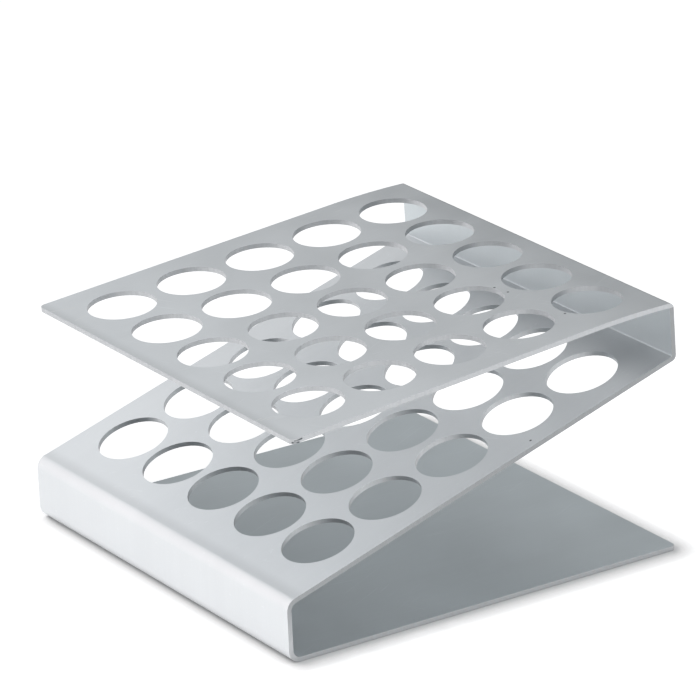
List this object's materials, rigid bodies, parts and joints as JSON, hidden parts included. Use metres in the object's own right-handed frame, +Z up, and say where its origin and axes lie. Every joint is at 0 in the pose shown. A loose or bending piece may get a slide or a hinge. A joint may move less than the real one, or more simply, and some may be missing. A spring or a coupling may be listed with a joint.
{
  "type": "folded sheet tube rack",
  "caption": "Rack bent from one aluminium sheet, with a base, a sloping middle shelf and a top shelf whose round holes hold collapsible tubes or vials upright.",
  "frame": {"origin": "middle of the base's underside: half of the width along the folds, and half of the depth from the front wall's foot to the base's rear edge", "axes": "+Z up, +Y from the front wall to the rear wall and its folds, X along the folds"},
  "size_m": [0.186, 0.1906, 0.108],
  "materials": {
    "sheet": "satin, finely brushed"
  },
  "bodies": {
    "root": {"rack": "sheet"}
  },
  "joints": []
}
